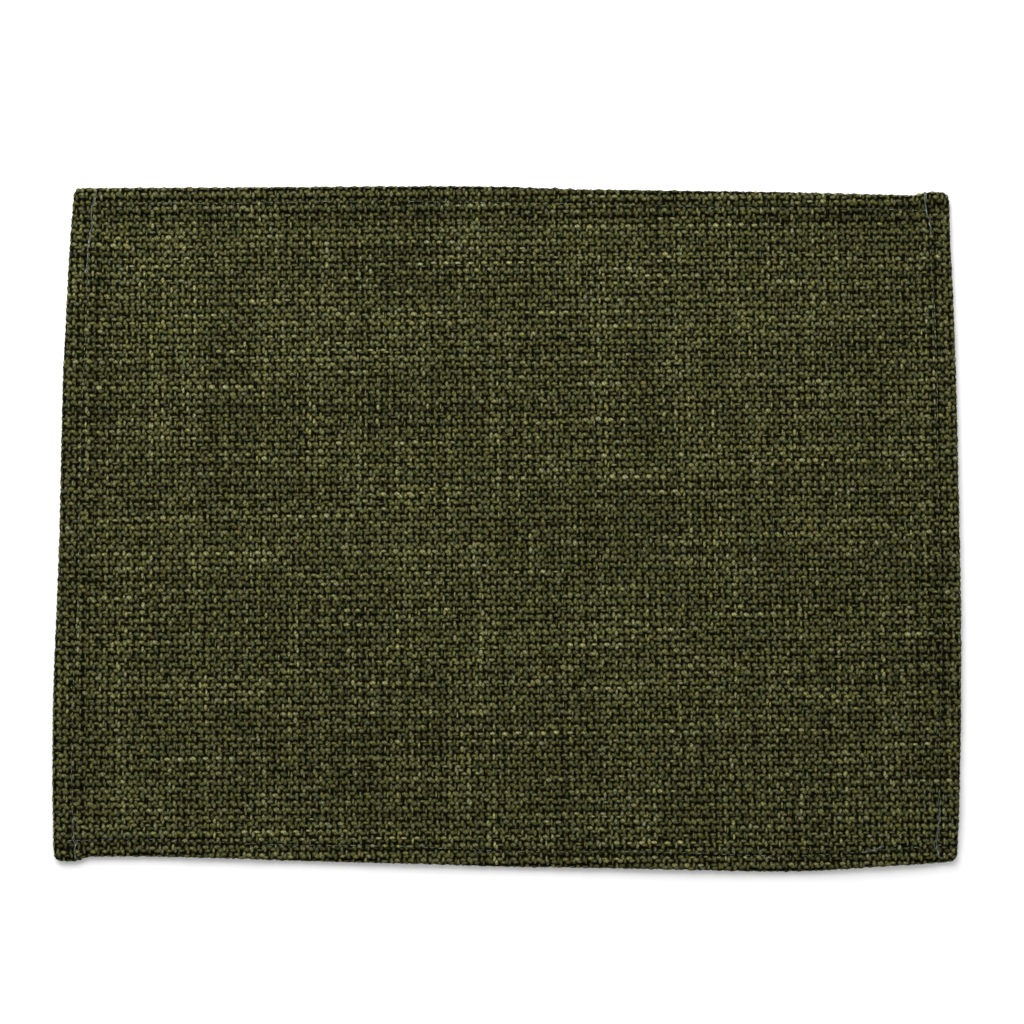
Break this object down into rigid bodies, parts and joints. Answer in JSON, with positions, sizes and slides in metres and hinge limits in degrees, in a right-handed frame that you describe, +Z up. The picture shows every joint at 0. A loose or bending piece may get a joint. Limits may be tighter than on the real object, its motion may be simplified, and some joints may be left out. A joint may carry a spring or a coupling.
{
  "type": "placemat",
  "caption": "Rectangular placemat of coarse basket-weave melange cloth, lying flat, with its edges turned under and topstitched as hems.",
  "frame": {"origin": "middle of the mat's bounding box, on the surface that it lies on", "axes": "+X along the long side to the right as seen in the picture, +Y to its upper edge, +Z up out of the face"},
  "size_m": [0.455, 0.3462, 0.0048],
  "materials": {
    "cloth": "matt coarse basket weave of paired dark olive green melange yarns",
    "thread": "fine grey-blue sewing thread"
  },
  "bodies": {
    "root": {"placemat": "cloth"}
  },
  "joints": []
}
